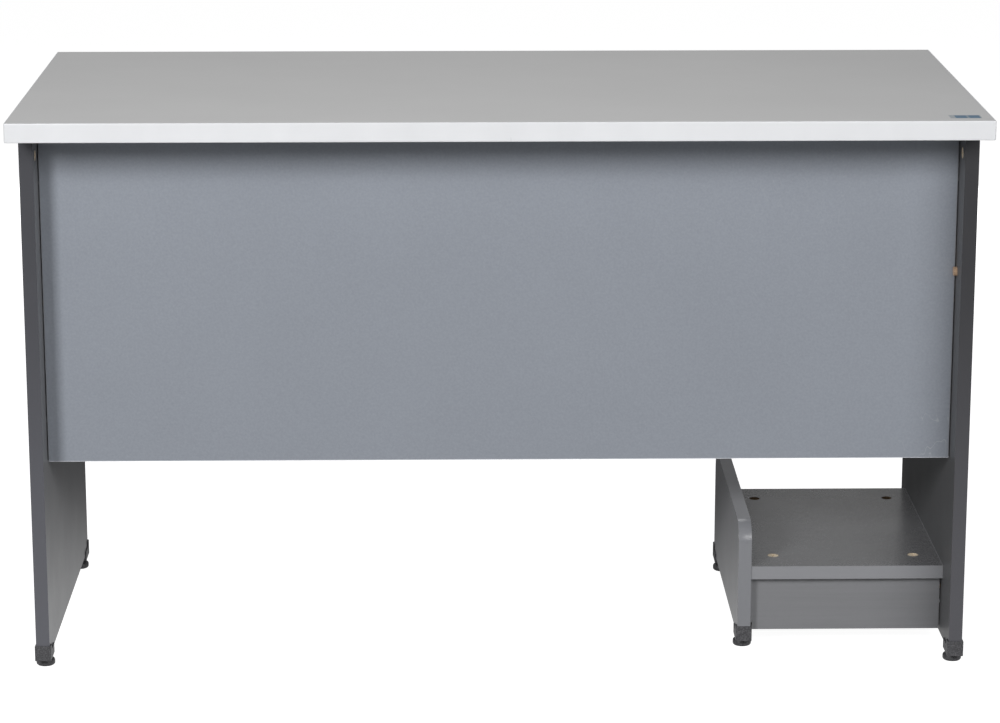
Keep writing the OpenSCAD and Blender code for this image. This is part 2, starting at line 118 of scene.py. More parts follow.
def make_floor():
    """A white sweep: one floor for the eye, one that throws light back, and one that glossy faces mirror,
    which glows with painted light.
    """
    white = plain_material("studio_white", (0.5, 0.5, 0.5), 0.9, glow=0.95)
    shown = sheet_of_floor("studio_floor", -0.0001, white)
    shown.visible_diffuse = shown.visible_glossy = shown.visible_shadow = False
    white.cycles.emission_sampling = "NONE"
    bounce = sheet_of_floor("studio_bounce", -0.001, plain_material("studio_pale", (0.36, 0.36, 0.36), 0.9))
    bounce.visible_camera = bounce.visible_glossy = False
    mirrored = sheet_of_floor("studio_reflection", -0.0005, painted_reflection_floor())
    mirrored.visible_camera = mirrored.visible_diffuse = mirrored.visible_shadow = False
    mirrored.data.materials[0].cycles.emission_sampling = "NONE"


def make_lights():
    """Two lights on the visitor's side, a weak one overhead, and three for the user's side and the shelf."""
    softbox("left_softbox", (1.86, 3.25, 2.02), (0.0, 0.18, 0.6), (0.8, 0.9), 79)
    softbox("right_softbox", (-1.80, 3.05, 2.0), (0.0, 0.18, 0.6), (3.2, 1.0), 68)
    softbox("overhead_softbox", (0.0, 0.2, 3.0), (0.0, 0.0, 0.75), (2.4, 1.6), 8)
    softbox("rear_softbox", (0.4, -2.9, 3.1), (0.2, 0.0, 0.5), (2.6, 1.2), 22)
    softbox("user_softbox", (-0.3, -3.2, 0.38), (-0.1, 0.0, 0.38), (3.0, 0.56), 32, mirrored=False)
    softbox("shelf_softbox", (-0.66, -1.5, 0.57), (-0.47, 0.0, 0.12), (0.30, 0.28), 0.09)


def make_air():
    """Even light from all round: faint on the desk, brighter in its glossy faces and white behind it."""
    world = bpy.data.worlds.new("studio_air")
    bpy.context.scene.world = world
    world.use_nodes = True
    tree = world.node_tree
    tree.nodes.clear()
    ray = tree.nodes.new("ShaderNodeLightPath")
    light = world_light(tree, 0.03)
    for kind_of_ray, strength in (("Is Glossy Ray", 0.25), ("Is Camera Ray", 1.0)):
        either = tree.nodes.new("ShaderNodeMixShader")
        tree.links.new(ray.outputs[kind_of_ray], either.inputs["Fac"])
        tree.links.new(light.outputs[0], either.inputs[1])
        tree.links.new(world_light(tree, strength).outputs[0], either.inputs[2])
        light = either
    output = tree.nodes.new("ShaderNodeOutputWorld")
    tree.links.new(light.outputs[0], output.inputs["Surface"])
    bpy.context.scene.view_settings.view_transform = "Standard"


def world_light(tree, strength):
    """White light of one strength from every side."""
    light = tree.nodes.new("ShaderNodeBackground")
    light.inputs["Color"].default_value = (1, 1, 1, 1)
    light.inputs["Strength"].default_value = strength
    return light


def painted_reflection_floor():
    """The floor that glossy faces mirror, glowing with painted light: bright on the visitor's side, with the
    desk's shadow painted dim behind it, and dim far off.
    """
    finish = Finish("studio_painted_reflection_floor", base_color=(0, 0, 0, 1), roughness=1.0, emission_strength=1.0)
    dim = (0.05, 0.05, 0.05)
    bright = (0.86, 0.86, 0.86)
    # painted shadow of the desk: the glow fades behind it, further back on the plus-X side
    across = finish.axis("Y") + 0.34 * finish.axis("X")
    out_of_shadow = finish.step(across, -0.7, 0.3)
    far_off = finish.step(finish.axis("Y"), 0.9, 2.4)
    glow = finish.blend(out_of_shadow * (1 - far_off), dim, bright)
    finish.tree.links.new(glow.socket, finish.shader.inputs["Emission Color"])
    return finish.material


# ---- finishes ----

class Value:
    """A number that changes over a surface. Arithmetic on it adds Math nodes to its finish."""

    def __init__(self, finish, socket):
        self.finish = finish
        self.socket = socket

    def maths(self, operation, *terms):
        return self.finish.node("ShaderNodeMath", {"operation": operation}, dict(enumerate(terms)))

    def __add__(self, other):
        return self.maths("ADD", self, other)

    def __sub__(self, other):
        return self.maths("SUBTRACT", self, other)

    def __rsub__(self, other):
        return self.maths("SUBTRACT", other, self)

    def __mul__(self, other):
        return self.maths("MULTIPLY", self, other)

    def __abs__(self):
        return self.maths("ABSOLUTE", self)

    __radd__ = __add__
    __rmul__ = __mul__


class Finish:
    """A material with one Principled shader, whose pattern is written as expressions."""

    def __init__(self, name, **constants):
        self.material = bpy.data.materials.new(name)
        self.material.use_nodes = True
        self.tree = self.material.node_tree
        self.shader = self.tree.nodes["Principled BSDF"]
        self.place = None
        for socket, value in constants.items():
            self.shader.inputs[socket.replace("_", " ").title().replace("Ior", "IOR")].default_value = value

    def node(self, kind, settings=None, inputs=None, output=0):
        """Adds a node: its settings first, then the values or links of its sockets."""
        node = self.tree.nodes.new(kind)
        for key, value in (settings or {}).items():
            setattr(node, key, value)
        for key, value in (inputs or {}).items():
            if isinstance(value, Value):
                self.tree.links.new(value.socket, node.inputs[key])
            else:
                node.inputs[key].default_value = value
        return Value(self, node.outputs[output])

    def at(self):
        """Where a point of the surface is, in metres on the desk."""
        if self.place is None:
            self.place = self.node("ShaderNodeTexCoord", output="Object")
        return self.place

    def scaled(self, scale):
        """The place, stretched so that a metre holds that many cells of a pattern: one number or three."""
        scale = scale if isinstance(scale, tuple) else (scale,) * 3
        return self.node("ShaderNodeVectorMath", {"operation": "MULTIPLY"}, {0: self.at(), 1: scale})

    def noise(self, scale, detail=2.0, roughness=0.5):
        """Soft noise, with the scale in cells a metre."""
        return self.node("ShaderNodeTexNoise", None, {"Vector": self.scaled(scale), "Scale": 1.0,
                                                      "Detail": detail, "Roughness": roughness})

    def cells(self, scale):
        """Distance to the nearest of many scattered points."""
        return self.node("ShaderNodeTexVoronoi", None,
                         {"Vector": self.scaled(scale), "Scale": 1.0}, "Distance")

    def axis(self, letter):
        """One coordinate of the place."""
        return self.node("ShaderNodeSeparateXYZ", None, {0: self.at()}, letter)

    def step(self, value, low, high):
        """0 below low, 1 above high and smooth between them."""
        return self.node("ShaderNodeMapRange", {"interpolation_type": "SMOOTHSTEP"},
                         {"Value": value, "From Min": low, "From Max": high})

    def blend(self, mask, first, second):
        """The first colour where the mask is 0, the second where it is 1."""
        first, second = ((*c, 1) if isinstance(c, tuple) else c for c in (first, second))
        return self.node("ShaderNodeMix", {"data_type": "RGBA"}, {0: mask, 6: first, 7: second}, 2)

    def near(self, point, radius):
        """1 close to a point, fading to 0 at the radius."""
        gap = self.node("ShaderNodeVectorMath", {"operation": "DISTANCE"},
                        {0: self.at(), 1: point}, "Value")
        return 1 - self.step(gap, 0.2 * radius, radius)

    def hairlines(self, scale, width):
        """Thin wandering lines, as scratches leave."""
        return 1 - self.step(abs(self.noise(scale, 1.0) - 0.5), 0.0, width)

    def paint(self, colour, roughness=None, *, bump, bump_depth):
        """Links the pattern to the shader. The bump's depth is in metres."""
        normal = self.node("ShaderNodeBump", None,
                           {"Height": bump, "Distance": bump_depth, "Strength": 1.0})
        for socket, value in (("Base Color", colour), ("Roughness", roughness), ("Normal", normal)):
            if value is not None:
                self.tree.links.new(value.socket, self.shader.inputs[socket])
        return self.material


def tinted(colour, factor):
    """The colour made darker, or lighter when the factor is over 1."""
    return tuple(c * factor for c in colour)


def laminate(name, colour, grain=460, contrast=0.05, roughness=0.42, streak=None,
             streak_depth=0.0, specks=0.0, scuffs=()):
    """Melamine board face: pebbled and faintly cloudy, with streaks, specks and scuffs where asked."""
    finish = Finish(name)
    pebble = finish.noise(grain, 2.0, 0.6)
    cloud = finish.noise(5.0, 3.0, 0.55)
    tone = contrast * (pebble - 0.5) + 0.09 * (cloud - 0.5)
    if streak:
        tone = tone + streak_depth * (finish.noise(streak, 3.0, 0.6) - 0.5)
    base = finish.blend(tone + 0.5, tinted(colour, 0.55), tinted(colour, 1.45))
    if specks:
        dot = 1 - finish.step(finish.cells(34), 0.012, 0.022)
        base = finish.blend(dot * specks, base, tinted(colour, 0.3))
    scuffed = (0.62, 0.62, 0.64)
    for place, radius, strength in scuffs:
        mark = finish.hairlines((60, 60, 34), 0.012) * finish.near(place, radius) * strength
        base = finish.blend(mark, base, scuffed)
    gloss = roughness + 0.12 * (finish.noise(14.0, 4.0, 0.6) - 0.5) + 0.08 * (pebble - 0.5)
    return finish.paint(base, gloss, bump=pebble, bump_depth=0.00012)


def edging(name, colour, roughness=0.38, pale=1.0, pale_from=0.0, pale_to=0.62):
    """Plastic edge band, rippled, with the trimming knife's lines. Low down it can be made paler."""
    finish = Finish(name)
    ripple = finish.noise((24, 24, 9), 2.0, 0.5)
    drag = finish.noise((30, 30, 2600), 1.0, 0.5)
    tone = 0.5 + 0.1 * (ripple - 0.5) + 0.05 * (drag - 0.5)
    base = finish.blend(tone, tinted(colour, 0.6), tinted(colour, 1.4))
    # paler low down; on the dark graphite edges this is painted light
    if pale != 1.0:
        low = 1 - finish.step(finish.axis("Z"), pale_from, pale_to)
        base = finish.blend(low, base, tinted(colour, pale))
    gloss = roughness + 0.1 * (ripple - 0.5)
    return finish.paint(base, gloss, bump=0.2 * drag + 0.8 * ripple, bump_depth=0.00025)


def raw_board_in_painted_shade():
    """Sawn chipboard inside a drilled hole, its brown darkened as painted shade in the hole."""
    finish = Finish("raw_chipboard_in_painted_shade", roughness=0.9)
    chips = finish.cells(420)
    base = finish.blend(finish.step(chips, 0.1, 0.7), (0.26, 0.18, 0.10), (0.15, 0.10, 0.055))
    return finish.paint(base, bump=chips, bump_depth=0.0004)


def textured_plastic():
    """Black moulded plastic with a spark-eroded surface, paler where it is rubbed."""
    finish = Finish("black_textured_plastic")
    grit = finish.noise(520.0, 2.0, 0.75)
    rub = finish.step(finish.noise(85.0, 4.0, 0.65), 0.50, 0.76)
    speck = finish.step(grit, 0.42, 0.66)
    fresh = (0.040, 0.040, 0.044)
    rubbed = (0.125, 0.124, 0.132)
    base = finish.blend(speck * 0.75 + rub * 0.35, fresh, rubbed)
    return finish.paint(base, 0.5 + 0.2 * (grit - 0.5) + 0.12 * rub, bump=grit, bump_depth=0.0004)


def cam_casting():
    """Cream-coated cast cam with a slightly grainy skin, darker in the grain's hollows as painted shade."""
    finish = Finish("cream_cam_casting")
    grit = finish.noise(700.0, 3.0, 0.6)
    base = finish.blend(finish.step(grit, 0.35, 0.7), (0.72, 0.59, 0.42), (0.94, 0.82, 0.64))
    return finish.paint(base, 0.4 + 0.2 * (grit - 0.5), bump=grit, bump_depth=0.0002)


def plug_nylon():
    """Beige moulded nylon with faint flow marks."""
    finish = Finish("beige_nylon_plug")
    flow = finish.noise(260.0, 2.0, 0.5)
    base = finish.blend(flow, (0.44, 0.29, 0.18), (0.60, 0.42, 0.28))
    return finish.paint(base, 0.45 + 0.1 * (flow - 0.5), bump=flow, bump_depth=0.0001)


def zinc_plate():
    """Bright zinc on rolled steel: long rolling lines and a cloudy spangle."""
    finish = Finish("zinc_plated_steel", metallic=1.0)
    colour = (0.60, 0.61, 0.63)
    rolling = finish.noise((900, 26, 900), 2.0, 0.6)
    spangle = finish.noise(70.0, 4.0, 0.6)
    tone = 0.5 + 0.5 * (spangle - 0.5) + 0.2 * (rolling - 0.5)
    base = finish.blend(tone, tinted(colour, 0.72), tinted(colour, 1.25))
    return finish.paint(base, 0.3 + 0.2 * (spangle - 0.5), bump=rolling, bump_depth=0.00006)


def satin_metal(name, colour, roughness, brushed):
    """Plated metal with fine brush lines."""
    finish = Finish(name, metallic=1.0)
    brush = finish.noise(brushed, 2.0, 0.6)
    smudge = finish.noise(45.0, 3.0, 0.6)
    base = finish.blend(0.5 + 0.3 * (smudge - 0.5), tinted(colour, 0.85), tinted(colour, 1.12))
    gloss = roughness + 0.08 * (smudge - 0.5) + 0.06 * (brush - 0.5)
    return finish.paint(base, gloss, bump=brush, bump_depth=0.000008)


def beech_wood():
    """Pale beech with its short flecks."""
    finish = Finish("beech_dowel_wood", roughness=0.6)
    fibre = finish.noise((900, 900, 60), 3.0, 0.6)
    base = finish.blend(fibre, (0.42, 0.27, 0.14), (0.72, 0.52, 0.31))
    return finish.paint(base, bump=fibre, bump_depth=0.0001)


def label_film(low, high):
    """A blank label: blue, with a pale margin, a pale end and a pale bar."""
    finish = Finish("blank_blue_label", specular_ior_level=0.15)
    middle = (low + high) / 2
    half = (high - low) / 2
    margin = 1.6 * MM
    end_width = 7 * MM
    bar_place = -3 * MM
    bar_half = 1.2 * MM
    crisp = 0.2 * MM
    x = finish.axis("X") - middle.x
    y = finish.axis("Y") - middle.y
    inside = (1 - finish.step(abs(x), half.x - margin, half.x - margin + crisp)) \
        * (1 - finish.step(abs(y), half.y - margin, half.y - margin + crisp))
    plain_end = finish.step(x, half.x - end_width, half.x - end_width + crisp)
    bar = 1 - finish.step(abs(x - bar_place), bar_half, bar_half + crisp)
    fibre = finish.noise(500.0, 3.0, 0.6)
    blue = inside * (1 - plain_end) * (1 - 0.6 * bar) * (0.92 + 0.1 * (fibre - 0.5))
    base = finish.blend(blue, (0.46, 0.50, 0.53), (0.13, 0.23, 0.34))
    return finish.paint(base, 0.6 + 0.1 * (fibre - 0.5), bump=fibre, bump_depth=0.00004)


# ---- boards ----

FACE, EDGE, RAW, FAR_FACE = range(4)

def outer_faces(bm):
    """The faces that lie on the board's own outline, and not in a hole, notch or bore."""
    points = np.array([v.co for v in bm.verts])
    found = set()
    for face in bm.faces:
        normal = np.array(face.normal)
        if (points @ normal).max() <= face.verts[0].co.dot(face.normal) + 2e-5:
            found.add(face)
    return found


def sharp_arrises(bm, outside, angle=SHARP):
    """The edges where two outer faces meet at more than the angle."""
    return [e for e in bm.edges if len(e.link_faces) == 2 and all(f in outside for f in e.link_faces)
            and e.calc_face_angle(0) > angle]


def joined_copy(node):
    """A CAD node's mesh as a bmesh whose triangles share their corners."""
    bm = bmesh.new()
    bm.from_mesh(NODES[node].data)
    bmesh.ops.remove_doubles(bm, verts=bm.verts, dist=2e-6)
    return bm


def clean_copy(node):
    """A CAD node's mesh as a joined-up bmesh with large flat faces."""
    bm = joined_copy(node)
    bmesh.ops.dissolve_limit(bm, angle_limit=math.radians(0.4), verts=bm.verts, edges=bm.edges,
                             delimit={"NORMAL"})
    return bm


def as_piece(bm, name, materials, node):
    """Makes the finished piece: it rides on its node's body and stands for the node."""
    mesh = bpy.data.meshes.new(name)
    bm.to_mesh(mesh)
    bm.free()
    for material in materials:
        mesh.materials.append(material)
    piece = bpy.data.objects.new(name, mesh)
    bpy.context.scene.collection.objects.link(piece)
    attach(piece, BODY[node])
    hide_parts(node)
    return piece


def cut_strips(bm, low, high, across, strip):
    """Cuts the broad faces along a narrow strip at each banded edge."""
    for i in across:
        for plane in (low[i] + strip, high[i] - strip):
            at = Vector((0, 0, 0))
            at[i] = plane
            normal = Vector((0, 0, 0))
            normal[i] = 1
            bmesh.ops.bisect_plane(bm, geom=bm.verts[:] + bm.edges[:] + bm.faces[:], dist=1e-6,
                                   plane_co=at, plane_no=normal)


def board(node, face, edge, raw, ease=0.5 * MM, strip=0.0, far_face=None):
    """A board with eased arrises. Its broad faces, banded edges and drilled holes have their own finishes.

    The strip is how much of the band shows on the broad faces. The far face is the finish for the broad face
    that looks along the plus axis, where a darker copy of the face's finish is given as painted shade.
    """
    bm = clean_copy(node)
    low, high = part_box(node)
    size = high - low
    thin = min(range(3), key=lambda i: size[i])
    across = [i for i in range(3) if i != thin]
    if strip:
        cut_strips(bm, low, high, across, strip)
    outside = outer_faces(bm)
    for f in bm.faces:
        centre = f.calc_center_bounds()
        if f not in outside:
            f.material_index = RAW
        elif abs(f.normal[thin]) < 0.9:
            f.material_index = EDGE
        elif any(centre[i] < low[i] + strip or centre[i] > high[i] - strip for i in across):
            f.material_index = EDGE
        elif far_face and f.normal[thin] > 0:
            f.material_index = FAR_FACE
    bmesh.ops.bevel(bm, geom=sharp_arrises(bm, outside), offset=ease, segments=2, profile=0.6,
                    affect="EDGES", clamp_overlap=True, material=EDGE)
    finishes = [face, edge, raw] + ([far_face] if far_face else [])
    return as_piece(bm, node.replace("cpu", "computer") + "_board", finishes, node)


GRAPHITE = (0.185, 0.187, 0.196)
UPRIGHT_STREAK = (160, 160, 5)
LYING_STREAK = (6, 190, 190)


def graphite(name, tone, roughness, streak, depth):
    """Graphite laminate made lighter or darker by the tone factor, streaked upright or along the board."""
    return laminate("graphite_laminate_" + name, tinted(GRAPHITE, tone), roughness=roughness, streak=streak,
                    streak_depth=depth)


def slate(low, high):
    """The modesty panel's blue-grey laminate, scuffed near its lower corner."""
    corner = Vector((low.x, high.y, low.z))
    scuffs = ((corner + Vector((0.02, 0, 0.02)), 0.06, 0.4),
              (corner + Vector((0.2, 0, 0.36)), 0.2, 0.05))
    return laminate("slate_laminate", (0.284, 0.307, 0.349), grain=330, contrast=0.26, roughness=0.46,
                    scuffs=scuffs)


def make_boards():
    """Every laminated board of the desk."""
    raw = raw_board_in_painted_shade()
    upright = graphite("upright", 1.0, 0.4, UPRIGHT_STREAK, 0.22)
    # a half-tone copy of the upright graphite: painted shade for the left leg's inner face
    painted_shade_face = graphite("painted_shade_face", 0.5, 0.42, UPRIGHT_STREAK, 0.22)
    stand = graphite("stand", 1.4, 0.36, UPRIGHT_STREAK, 0.22)
    lying = graphite("lying", 1.1, 0.33, LYING_STREAK, 0.20)
    shelf = graphite("shelf", 0.74, 0.27, LYING_STREAK, 0.24)
    rail = graphite("rail", 1.2, 0.38, LYING_STREAK, 0.20)
    # these two bands get paler towards the floor, up to 0.62 m high: painted light
    dark_edge = edging("graphite_edge_dark", (0.060, 0.061, 0.070), pale=1.9)
    # the left leg's edge band, darker than the right leg's: painted shade
    painted_shade_band = edging("graphite_edge_painted_shade", (0.032, 0.032, 0.036), 0.42, pale=2.7)
    plinth_edge = edging("graphite_edge", tinted(GRAPHITE, 1.2))
    pale_edge = edging("graphite_edge_pale", (0.235, 0.24, 0.257), 0.23)
    shelf_edge = edging("graphite_edge_shelf", (0.285, 0.288, 0.305), 0.34)
    top = laminate("light_grey_laminate", (0.70, 0.70, 0.70), contrast=0.03, roughness=0.6, specks=0.5)
    low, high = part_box("modesty_panel")
    slate_edge = edging("slate_edge", (0.29, 0.30, 0.32), pale=2.5, pale_from=low.z + 1 * MM,
                        pale_to=low.z + 3 * MM)
    chalk = laminate("drawer_box_laminate", (0.60, 0.60, 0.59), grain=700, roughness=0.5,
                     streak=(8, 8, 420), streak_depth=0.06)
    chalk_edge = edging("drawer_box_edge", (0.62, 0.62, 0.61))

    board("desktop", top, top, raw, ease=0.05 * MM)
    # the left leg's inner face gets the half-tone graphite as painted shade
    board("side_panel_left", upright, painted_shade_band, raw, strip=0.8 * MM, far_face=painted_shade_face)
    board("side_panel_right", upright, dark_edge, raw, strip=0.8 * MM)
    board("modesty_panel", slate(low, high), slate_edge, raw, ease=1.1 * MM)
    board("cpu_divider", stand, pale_edge, raw, ease=0.8 * MM)
    board("cpu_shelf", shelf, shelf_edge, raw, strip=0.8 * MM)
    board("cpu_plinth_visitor", rail, plinth_edge, raw)
    board("cpu_plinth_user", rail, plinth_edge, raw)
    board("pedestal_side", upright, dark_edge, raw, strip=0.8 * MM)
    board("pedestal_bottom", lying, dark_edge, raw, strip=0.8 * MM)
    board("pedestal_back", lying, dark_edge, raw)
    board("lock_rail", lying, dark_edge, raw, ease=0.4 * MM)
    for drawer in (1, 2, 3):
        board(f"drawer_{drawer}_front", lying, dark_edge, raw, ease=0.7 * MM, strip=1.0 * MM)
        for side in ("side_left", "side_right", "back", "bottom"):
            board(f"drawer_{drawer}_{side}", chalk, chalk_edge, raw, ease=0.3 * MM)


def make_edge_band():
    """The thick band round the top, with its outer arrises rounded over."""
    bm = clean_copy("desktop_edge_band")
    arrises = sharp_arrises(bm, outer_faces(bm))
    rounded = bmesh.ops.bevel(bm, geom=arrises, offset=1.3 * MM, segments=5, profile=0.5, affect="EDGES",
                              clamp_overlap=True)
    for f in rounded["faces"]:
        f.smooth = True
    band = edging("pale_edge_band", (0.825, 0.835, 0.855), 0.3)
    as_piece(bm, "desktop_band_rounded", [band], "desktop_edge_band")


# ---- repeated fittings ----

class Pattern:
    """A Geometry Nodes tree with named inputs, which places one made shape at many points."""

    def __init__(self, name, sizes):
        self.tree = bpy.data.node_groups.new(name, "GeometryNodeTree")
        self.tree.interface.new_socket("Geometry", in_out="INPUT", socket_type="NodeSocketGeometry")
        self.tree.interface.new_socket("Geometry", in_out="OUTPUT", socket_type="NodeSocketGeometry")
        self.sizes = sizes
        self.keys = {}
        for label in sizes:
            socket = self.tree.interface.new_socket(label, in_out="INPUT", socket_type="NodeSocketFloat")
            self.keys[label] = socket.identifier
        self.inputs = self.tree.nodes.new("NodeGroupInput")
        self.output = self.tree.nodes.new("NodeGroupOutput")

    def node(self, kind, settings=None, inputs=None, output=0):
        """Adds a node: its settings first, then the values or links of its sockets. A list links many."""
        node = self.tree.nodes.new(kind)
        for key, value in (settings or {}).items():
            setattr(node, key, value)
        for key, value in (inputs or {}).items():
            for one in value if isinstance(value, list) else [value]:
                if isinstance(one, bpy.types.NodeSocket):
                    self.tree.links.new(one, node.inputs[key])
                else:
                    node.inputs[key].default_value = one
        return node.outputs[output]

    def maths(self, operation, first, second):
        return self.node("ShaderNodeMath", {"operation": operation}, {0: first, 1: second})

    def vector(self, x, y, z):
        return self.node("ShaderNodeCombineXYZ", None, {0: x, 1: y, 2: z})

    def attribute(self, name, kind):
        return self.node("GeometryNodeInputNamedAttribute", {"data_type": kind},
                         {"Name": name}, "Attribute")

    def raised(self, shape, z):
        return self.node("GeometryNodeTransform", None,
                         {"Geometry": shape, "Translation": self.vector(0.0, 0.0, z)})

    def place(self, shape, material):
        """Stands the shape on every point, facing the way that the point gives and turned by its spin."""
        facing = self.node("FunctionNodeAlignRotationToVector", {"axis": "Z"},
                           {"Vector": self.attribute("facing", "FLOAT_VECTOR")})
        spin = self.node("FunctionNodeAxisAngleToRotation", None,
                         {"Axis": (0, 0, 1), "Angle": self.attribute("spin", "FLOAT")})
        turned = self.node("FunctionNodeRotateRotation", {"rotation_space": "LOCAL"},
                           {"Rotation": facing, "Rotate By": spin})
        many = self.node("GeometryNodeInstanceOnPoints", None,
                         {"Points": self.inputs.outputs["Geometry"], "Instance": shape, "Rotation": turned})
        real = self.node("GeometryNodeRealizeInstances", None, {"Geometry": many})
        done = self.node("GeometryNodeSetMaterial", None, {"Geometry": real, "Material": material})
        self.tree.links.new(done, self.output.inputs["Geometry"])

    def build(self, name, places, body, slot, replaced=None):
        """Runs the tree on (point, facing, spin) places and leaves a plain mesh that rides on the body."""
        mesh = bpy.data.meshes.new(name + "_points")
        mesh.from_pydata([at for at, _, _ in places], [], [])
        mesh.attributes.new("facing", "FLOAT_VECTOR", "POINT")
        mesh.attributes.new("spin", "FLOAT", "POINT")
        for i, (_, way, turn) in enumerate(places):
            mesh.attributes["facing"].data[i].vector = way
            mesh.attributes["spin"].data[i].value = turn
        points = bpy.data.objects.new(name + "_points", mesh)
        bpy.context.scene.collection.objects.link(points)
        modifier = points.modifiers.new("pattern", "NODES")
        modifier.node_group = self.tree
        for label, value in self.sizes.items():
            modifier[self.keys[label]] = value
        graph = bpy.context.evaluated_depsgraph_get()
        made = bpy.data.meshes.new_from_object(points.evaluated_get(graph))
        bpy.data.objects.remove(points)
        piece = bpy.data.objects.new(name, made)
        bpy.context.scene.collection.objects.link(piece)
        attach(piece, body)
        if replaced:
            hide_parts(replaced)
        return piece


def crossed_disc(name, material, sizes):
    """A round head with a cross recess, and a raised rim where the sizes give one. It faces +Z."""
    pattern = Pattern(name, sizes)
    size = pattern.inputs.outputs
    body = pattern.node("GeometryNodeMeshCone", None,
                        {"Vertices": 40, "Radius Top": size["Face radius"],
                         "Radius Bottom": size["Body radius"], "Depth": size["Depth"]})
    body = pattern.raised(body, pattern.maths("MULTIPLY", size["Depth"], -1.0))
    deep = pattern.maths("MULTIPLY", size["Cross depth"], 2.0)
    arm = size["Cross length"]
    width = size["Cross width"]
    cutters = [pattern.node("GeometryNodeMeshCube", None, {"Size": pattern.vector(arm, width, deep)}),
               pattern.node("GeometryNodeMeshCube", None, {"Size": pattern.vector(width, arm, deep)})]
    if "Rim width" in sizes:
        inner = pattern.maths("SUBTRACT", size["Face radius"], size["Rim width"])
        cutters.append(pattern.node("GeometryNodeMeshCylinder", None,
                                    {"Vertices": 40, "Radius": inner, "Depth": size["Rim depth"]}))
    cut = pattern.node("GeometryNodeMeshBoolean", {"operation": "DIFFERENCE", "solver": "EXACT"},
                       {"Mesh 1": body, "Mesh 2": cutters})
    pattern.place(cut, material)
    return pattern


def islands(node):
    """The corner points of each separate solid of a node, in the order of their places."""
    bm = joined_copy(node)
    seen = set()
    found = []
    for start in bm.verts:
        if start in seen:
            continue
        seen.add(start)
        waiting = [start]
        group = []
        while waiting:
            vertex = waiting.pop()
            group.append(vertex.co.copy())
            for edge in vertex.link_edges:
                other = edge.other_vert(vertex)
                if other not in seen:
                    seen.add(other)
                    waiting.append(other)
        found.append(np.array(group))
    bm.free()
    return sorted(found, key=lambda points: tuple(points.mean(0).round(4)))


def cam_places():
    """The middle of every cam's slotted face, the way it faces and how far the cam is turned."""
    most_turned = 0.35
    places = []
    for number, points in enumerate(islands("cam_locks")):
        low, high = points.min(0), points.max(0)
        axis = int(np.argmin(high - low))
        at_low = (points[:, axis] < low[axis] + 0.1 * MM).sum()
        at_high = (points[:, axis] > high[axis] - 0.1 * MM).sum()
        face = (low + high) / 2
        way = np.zeros(3)
        way[axis] = 1 if at_high > at_low else -1
        face[axis] = high[axis] if at_high > at_low else low[axis]
        places.append((Vector(face), Vector(way), most_turned * math.sin(2.4 * number)))
    return places


def make_cams():
    """Every cam. The two at the user's end of the shelf sit deep in their holes, the others flush."""
    sunk = 4.6 * MM
    low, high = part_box("cpu_shelf")
    flush, deep = [], []
    for at, way, spin in cam_places():
        in_shelf = way.z > 0.5 and abs(at.z - high.z) < MM
        if in_shelf and at.y < (low.y + high.y) / 2:
            deep.append((at - way * sunk, way, spin))
        else:
            flush.append((at, way, spin))
    sizes = {"Face radius": 7.2 * MM, "Body radius": 7.4 * MM, "Depth": 9.0 * MM, "Cross length": 8.6 * MM,
             "Cross width": 2.1 * MM, "Cross depth": 3.4 * MM, "Rim width": 1.0 * MM, "Rim depth": 0.8 * MM}
    cam = crossed_disc("cam_head", cam_casting(), sizes)
    cam.build("cam_lock_heads", flush, "root", SLOT["cam_locks"], "cam_locks")
    cam.build("sunk_cam_lock_heads", deep, "root", SLOT["cam_locks"])


FLAT_HEAD = {"Face radius": 2.6 * MM, "Body radius": 3.3 * MM, "Depth": 0.9 * MM, "Cross length": 3.4 * MM,
             "Cross width": 0.7 * MM, "Cross depth": 0.6 * MM}
PAN_HEAD = {"Face radius": 2.9 * MM, "Body radius": 4.0 * MM, "Depth": 2.5 * MM, "Cross length": 4.2 * MM,
            "Cross width": 0.9 * MM, "Cross depth": 1.4 * MM}
CHANNEL_WEB = 1.2 * MM
PROUD = CHANNEL_WEB + FLAT_HEAD["Depth"]
SCREW_SHARES = (0.08, 0.5, 0.92)


def screw_row(x, way, low, high, spread, start=0.0):
    """Three screws along a channel, each turned by its own angle."""
    height = (low[2] + high[2]) / 2
    return [(Vector((x, low[1] + share * (high[1] - low[1]), height)), Vector((way, 0, 0)),
             spread * share + start) for share in SCREW_SHARES]


def make_pedestal_screws(flat):
    """The screws that hold the fixed channels to the pedestal."""
    middle = (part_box("pedestal_side")[1].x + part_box("side_panel_right")[0].x) / 2
    places = []
    for channel in islands("slides_outer"):
        low, high = channel.min(0), channel.max(0)
        inward = 1 if low[0] < middle else -1
        wall = low[0] if inward > 0 else high[0]
        places += screw_row(wall + inward * PROUD, inward, low, high, 7.0)
    flat.build("slide_screws", places, "root", "zinc_steel")


def make_drawer_screws(drawer, flat, pan):
    """The screws that hold a drawer's channels and, from inside the drawer, its handle."""
    body = f"drawer_{drawer}"
    low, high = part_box(body + "_slides")
    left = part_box(body + "_side_left")[0].x
    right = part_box(body + "_side_right")[1].x
    places = []
    for side, outward in ((left, -1), (right, 1)):
        places += screw_row(side + outward * PROUD, outward, low, high, 5.0, drawer)
    flat.build(body + "_slide_screws", places, body, "zinc_steel")
    low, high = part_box(body + "_handle")
    inset = 5 * MM
    heads = [(Vector((x, high.y, (low.z + high.z) / 2)), Vector((0, 1, 0)), 3.0 * x)
             for x in (low.x + inset, high.x - inset)]
    pan.build(body + "_handle_screws", heads, body, "zinc_steel")


def make_screws(zinc):
    """Flat heads in the slides' channels, and pan heads behind the handles."""
    flat = crossed_disc("slide_screw", zinc, FLAT_HEAD)
    pan = crossed_disc("handle_screw", zinc, PAN_HEAD)
    make_pedestal_screws(flat)
    for drawer in (1, 2, 3):
        make_drawer_screws(drawer, flat, pan)


